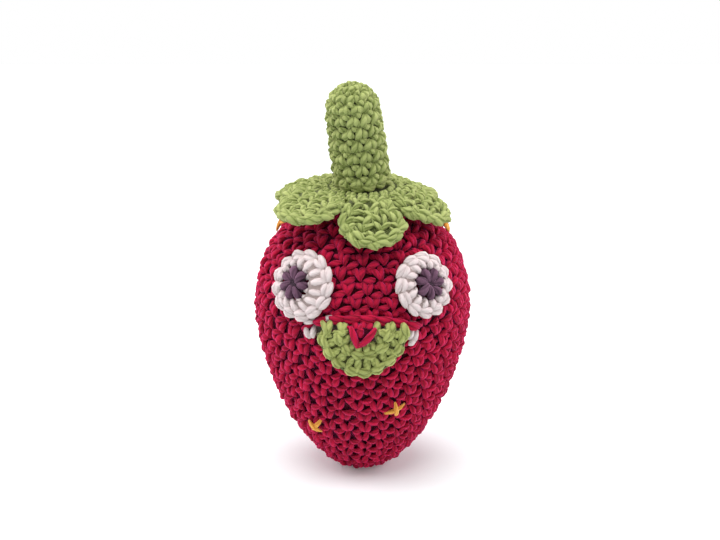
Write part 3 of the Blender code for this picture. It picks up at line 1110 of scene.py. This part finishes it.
LOBE_ROW = 2.6 * MM  # between two rows of face strands
LOBE_CELL = 2.9 * MM  # between two face strands of a row
LOBE_SPREAD = math.radians(58.0)
LOBE_FACE_DEPTH = 0.75 * MM
CROWN_REACH = 40.0 * MM  # beyond every lobe's tip
ROOT_ANGLE = math.radians(42.0)  # half of the border that is the lobe's root


class Lobe:
    """One lobe of the crown, read from its CAD sheet."""

    def __init__(self, number):
        self.node = f"crown_lobe_{number}"
        self.tree = tree_of(self.node)
        hinge = hinge_of(f"lobe_{number}_lift")
        self.azimuth = azimuth_of(hinge)
        self.root = math.hypot(hinge.x, hinge.y)
        self.centre = outwards_at(self.azimuth) * (self.root + 6.5 * MM)

    def face(self, x, y, top=True):
        """The upper or under face over a point of the plan, or nothing outside the lobe."""
        start = Vector((x, y, 0.2 if top else -0.2))
        hit, normal, *_ = self.tree.ray_cast(start, DOWN if top else UP)
        return (hit, normal) if hit is not None else None

    def edge(self, turn):
        """How far the lobe reaches from its centre in one way of the plan."""
        way = Vector((math.cos(turn), math.sin(turn), 0.0))
        low, high = 0.0, 25.0 * MM
        for _ in range(14):
            middle = (low + high) / 2.0
            place = self.centre + way * middle
            if self.face(place.x, place.y):
                low = middle
            else:
                high = middle
        return self.centre + way * low, way

    def border(self):
        """The free edge from one side of the root round the tip to the other, and its way out."""
        path, outs = [], []
        inward = math.atan2(math.cos(self.azimuth), -math.sin(self.azimuth))
        steps = 44
        for step in range(steps + 1):
            turn = inward + ROOT_ANGLE + (math.tau - 2.0 * ROOT_ANGLE) * step / steps
            place, way = self.edge(turn)
            inner = place - way * 0.35 * MM
            above = self.face(inner.x, inner.y)
            below = self.face(inner.x, inner.y, False)
            level = (above[0].z + below[0].z) / 2.0
            path.append(Vector((inner.x, inner.y, level)) - way * 0.25 * MM)
            outs.append((way * 0.8 + UP * 0.75).normalized())
        return path, outs


def lobe_face_strands(strands, lobe, top):
    """Rows of strands over one face, each leaning to one side or the other."""
    radius = lobe.root + 1.2 * MM
    row = 0
    while radius < CROWN_REACH:
        count = round(radius * LOBE_SPREAD / LOBE_CELL)
        for step in range(count + 1):
            azimuth = lobe.azimuth + LOBE_SPREAD * ((step + 0.5 * (row % 2)) / count - 0.5)
            place = outwards_at(azimuth) * radius
            found = lobe.face(place.x, place.y, top)
            beyond = outwards_at(azimuth) * (radius + 2.4 * MM)
            if not found or not lobe.face(beyond.x, beyond.y, top):
                continue
            hit, normal = found
            lean = 0.8 if (step + row) % 2 else -0.7
            way = outwards_at(azimuth + lean + chance.uniform(-0.5, 0.5))
            way = (way - normal * way.dot(normal)).normalized() * 2.3 * MM
            middle = hit - normal * LOBE_FACE_DEPTH
            strands.lay(middle - way, middle + way, normal, GREEN_THICK * 0.9)
        radius += LOBE_ROW
        row += 1


def make_lobe(number):
    """A lobe with two braided edges, one over the other, and strands over both faces."""
    lobe = Lobe(number)
    strands = Strands()
    path, outs = lobe.border()
    strands.chain(path, outs, 5.2 * MM, GREEN_THICK * 1.05, 0.30)
    low_path = [place - UP * 1.2 * MM for place in path]
    low_outs = [(out - UP * 1.3).normalized() for out in outs]
    strands.chain(low_path, low_outs, 4.4 * MM, GREEN_THICK * 0.95, 0.20)
    for top in (True, False):
        lobe_face_strands(strands, lobe, top)
    fabric = strands.mesh(lobe.node + "_fabric", YARN["green"], 40 + number, 0.12, 0.22, 0.3 * MM)
    sheet = sheet_mesh(lobe.node + "_sheet", under_sheet(lobe.node, 1.15 * MM), YARN["green"])
    piece = joined(lobe.node + "_fabric", [fabric, sheet])
    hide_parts(lobe.node)
    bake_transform(piece)


def make_crown_middle():
    """The round that the lobes and the stem are worked from: two rounds on top and one below."""
    low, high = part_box("crown_middle")
    radius = (high.x - low.x) / 2.0
    strands = Strands()
    for inner, outer, count, level in (
        (7.5 * MM, 11.0 * MM, 16, high.z - 0.8 * MM),
        (10.6 * MM, radius + 0.8 * MM, 20, high.z - 0.9 * MM),
        (9.0 * MM, radius + 0.6 * MM, 18, low.z + 0.9 * MM),
    ):
        out = UP if level > (low.z + high.z) / 2.0 else DOWN
        cell = math.tau / count
        for number in range(count):
            for side in (-1.0, 1.0):
                start = outwards_at(number * cell + side * cell * 0.1) * inner + UP * level
                end = outwards_at(number * cell + side * cell * 0.24) * outer + UP * level
                strands.lay(start, end, out, GREEN_THICK)
    fabric = strands.mesh("crown_middle_fabric", YARN["green"], 51)
    sheet = sheet_mesh("crown_middle_sheet", under_sheet("crown_middle", 0.7 * MM), YARN["green"])
    piece = joined("crown_middle_fabric", [fabric, sheet])
    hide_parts("crown_middle")
    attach(piece, "body")


# ---------------------------------------------------------------- tongue


TONGUE_HINGE = hinge_of("tongue_lift")
TONGUE_LOW, TONGUE_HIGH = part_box("tongue_rounds")
TONGUE_REACH = TONGUE_HINGE.z - TONGUE_LOW.z
TONGUE_HALF_WIDTH = (TONGUE_HIGH.x - TONGUE_LOW.x) / 2.0
TONGUE_TREES = [tree_of("tongue_rounds"), tree_of("tongue_centre")]
TONGUE_SWEEP = math.radians(80.0)
LIP_WAY = Vector((0.0, -1.0, 0.3))  # the way out of the strands that go in under the lip

# Red stitches at the middle of the tongue: both ends across and down in mm, and depth in mm
TONGUE_MIDDLE = (
    ((-3.9, 1.2), (-1.2, 7.0), -0.3),
    ((3.3, 1.2), (-0.5, 7.2), -0.3),
    ((-0.6, 0.8), (-0.6, 4.6), 0.9),
)


def tongue_place(turn, distance, front=True, depth=0.0):
    """A point on the tongue's face: turn is 0 straight down, and distance is a share of its reach."""
    x = TONGUE_HINGE.x + math.sin(turn) * distance * TONGUE_HALF_WIDTH
    z = TONGUE_HINGE.z - math.cos(turn) * distance * TONGUE_REACH
    start = Vector((x, -80.0 * MM if front else 0.0, z))
    found = first_hit(TONGUE_TREES, start, BACKWARDS if front else -BACKWARDS)
    place = found[0] if found else nearest_place(TONGUE_TREES, Vector((x, TONGUE_HINGE.y, z)))
    out = Vector((place.x, place.y, 0.0)).normalized()
    if not front:
        out = -out
    return place - out * depth, out


def tongue_spot(x, down, front=True, depth=0.0):
    """A point on the tongue's face, across and down from the middle of its hinge."""
    across = x / TONGUE_HALF_WIDTH
    fall = down / TONGUE_REACH
    return tongue_place(math.atan2(across, fall), math.hypot(across, fall), front, depth)


def tongue_round(strands, inner, outer, count, thick, front, depth):
    """A half round of stitches on the tongue, two legs each."""
    cell = 2.0 * TONGUE_SWEEP / count
    for number in range(count):
        middle = -TONGUE_SWEEP + (number + 0.5) * cell
        for side in (-1.0, 1.0):
            start, _ = tongue_place(middle + side * cell * 0.14, inner, front, depth)
            end, _ = tongue_place(middle + side * cell * 0.28, outer, front, depth)
            _, out = tongue_place(middle, (inner + outer) / 2.0, front)
            strands.lay(start, end, out, thick)


def make_tongue_rounds():
    """The green rounds, with a braided edge and the strands that go in under the lip."""
    strands = Strands()
    path, outs = [], []
    for step in range(41):
        turn = TONGUE_SWEEP * (step / 20.0 - 1.0)
        place, out = tongue_place(turn, 0.92, True, 0.6 * MM)
        away = Vector((math.sin(turn), 0.0, -math.cos(turn)))
        path.append(place)
        outs.append((out * 0.85 + away * 0.5).normalized())
    strands.chain(path, outs, 4.9 * MM, GREEN_THICK, 0.26)
    for front in (True, False):
        path, outs = [], []
        for step in range(31):
            turn = math.radians(76.0) * (step / 15.0 - 1.0)
            place, out = tongue_place(turn, 0.58, front, 0.4 * MM)
            path.append(place)
            outs.append(out)
        strands.chain(path, outs, 4.4 * MM, GREEN_THICK * 0.95, 0.25)
        tongue_round(strands, 0.34, 0.56, 4, GREEN_THICK * 1.05, front, depth=0.9 * MM)
        tongue_round(strands, 0.62, 0.86, 6, GREEN_THICK * 1.1, front, depth=1.4 * MM)
    for step in (-5, -4, -3, -2, 2, 3, 4, 5):
        x = step * 2.5
        lean = 1.4 if step % 2 else -1.4
        start = TONGUE_HINGE + Vector((x, 2.8, 0.4)) * MM
        end = TONGUE_HINGE + Vector((x + lean, -0.3, -3.2)) * MM
        strands.lay(start, end, LIP_WAY, GREEN_THICK * 1.05)
    fabric = strands.mesh("tongue_rounds_fabric", YARN["tongue"], 61, 0.10, 0.14)
    sheet = sheet_mesh("tongue_sheet", under_sheet("tongue_rounds", 1.15 * MM), YARN["tongue"])
    piece = joined("tongue_rounds_fabric", [fabric, sheet])
    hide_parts("tongue_rounds")
    blend_tongue(piece)


def make_tongue_centre():
    """The red first round, shaped like a V."""
    strands = Strands()
    for front in (True, False):
        for (x0, down0), (x1, down1), sink in TONGUE_MIDDLE:
            start, out = tongue_spot(x0 * MM, down0 * MM, front, sink * MM)
            end, _ = tongue_spot(x1 * MM, down1 * MM, front, sink * MM)
            strands.lay(end, start, out, GREEN_THICK * 1.1, 1.15)
    for x in (-2.6, 0.2, 2.8):
        start = TONGUE_HINGE + Vector((x, 2.6, 0.6)) * MM
        end = TONGUE_HINGE + Vector((x * 0.6, -0.2, -3.4)) * MM
        strands.lay(start, end, LIP_WAY, GREEN_THICK * 1.1)
    fabric = strands.mesh("tongue_centre_fabric", YARN["red"], 62, turn_jitter=0.2)
    sheet = sheet_mesh("tongue_centre_sheet", under_sheet("tongue_centre", 1.1 * MM), YARN["red"])
    piece = joined("tongue_centre_fabric", [fabric, sheet])
    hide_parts("tongue_centre")
    blend_tongue(piece)


def blend_tongue(piece):
    """Bakes the piece's place into its mesh; the tongue's hinge lies where it goes in under the lip."""
    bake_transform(piece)


# ---------------------------------------------------------------- filling


LUMPS = 60
LUMP_SIZE = 4.0 * MM
LUMP_DEPTH = 0.9 * MM


def make_filling(node, body, seed):
    """The filling as one lumpy mass of fibre."""
    shape = under_sheet(node, 0.5 * MM)
    bmesh.ops.subdivide_edges(shape, edges=shape.edges, cuts=1, use_grid_fill=True)
    bmesh.ops.triangulate(shape, faces=shape.faces)
    shape.normal_update()
    lumps = random.Random(seed)
    every = max(1, len(shape.verts) // LUMPS)
    centres = [(vertex.co.copy(), lumps.uniform(0.2, 1.0)) for vertex in list(shape.verts)[::every]]
    for vertex in shape.verts:
        push = 0.0
        for centre, strength in centres:
            push += strength * math.exp(-(((vertex.co - centre).length / LUMP_SIZE) ** 2))
        vertex.co -= vertex.normal * min(1.0, push) * LUMP_DEPTH
    piece = joined(node + "_fibre", [smooth_mesh(node + "_fibre", shape, FIBRE)])
    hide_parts(node)
    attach(piece, body)


# ---------------------------------------------------------------- studio


FLOOR_HALF_SIDE = 0.5
WORLD_LIGHT = 0.43
LIGHT_TARGET = Vector((0.0, 0.0, 0.06))
SIDE_COLOUR = (1.0, 0.84, 0.93)
CAMERA_LENS = 123.0
CAMERA_DISTANCE = 0.8
CAMERA_ELEVATION = math.radians(20.0)
CAMERA_TARGET = Vector((STEM_PIVOT.x, 0.0, 67.5 * MM))


def aimed(name, data, place, target):
    """A lamp or camera at a place, turned to a target."""
    holder = bpy.data.objects.new(name, data)
    holder.location = place
    holder.rotation_euler = (target - place).to_track_quat("-Z", "Y").to_euler()
    bpy.context.scene.collection.objects.link(holder)
    return holder


def area_light(name, place, size, power, colour):
    """A round soft light aimed at the toy."""
    light = bpy.data.lights.new(name, "AREA")
    light.shape = "DISK"
    light.size = size
    light.energy = power
    light.color = colour
    aimed(name, light, Vector(place), LIGHT_TARGET)


def make_studio():
    """A pale floor, a white world, three soft lights and the camera."""
    mesh = bpy.data.meshes.new("floor")
    side = FLOOR_HALF_SIDE
    corners = [(-side, -side, 0.0), (side, -side, 0.0), (side, side, 0.0), (-side, side, 0.0)]
    mesh.from_pydata(corners, [], [(0, 1, 2, 3)])
    mesh.materials.append(floor_material())
    floor = bpy.data.objects.new("floor", mesh)
    bpy.context.scene.collection.objects.link(floor)

    world = bpy.data.worlds.new("studio")
    world.use_nodes = True
    tree = Tree(world.node_tree)
    ray = tree.node("ShaderNodeLightPath", {}, {})
    seen = tree.value(ray, "Is Camera Ray")
    backdrop = world.node_tree.nodes["Background"]
    backdrop.inputs["Color"].default_value = (1.0, 1.0, 1.0, 1.0)
    tree.feed(backdrop.inputs["Strength"], seen * (1.0 - WORLD_LIGHT) + WORLD_LIGHT)
    bpy.context.scene.world = world
    area_light("overhead", (-0.05, -0.15, 0.95), 1.0, 10.5, (1.0, 1.0, 1.0))
    area_light("left_side", (-0.70, 0.25, 0.40), 0.7, 4.6, SIDE_COLOUR)
    area_light("right_side", (0.75, 0.20, 0.35), 0.7, 4.4, SIDE_COLOUR)

    lens = bpy.data.cameras.new("camera")
    lens.lens = CAMERA_LENS
    way = Vector((0.0, -math.cos(CAMERA_ELEVATION), math.sin(CAMERA_ELEVATION)))
    place = CAMERA_TARGET + way * CAMERA_DISTANCE
    bpy.context.scene.camera = aimed("camera", lens, place, CAMERA_TARGET)
    bpy.context.scene.view_settings.view_transform = "Standard"


make_body()
make_lip()
make_lining()
make_eye("left", 1.3 * MM, 23)
make_eye("right", 1.9 * MM, 26)
for seed_number in range(1, 9):
    make_seed(f"seed_{seed_number}", 70 + seed_number)
make_stem()
make_crown_middle()
for lobe_number in range(1, 7):
    make_lobe(lobe_number)
make_tongue_rounds()
make_tongue_centre()
make_filling("body_stuffing", "body", 81)
make_filling("stem_stuffing", "stem", 82)
make_studio()
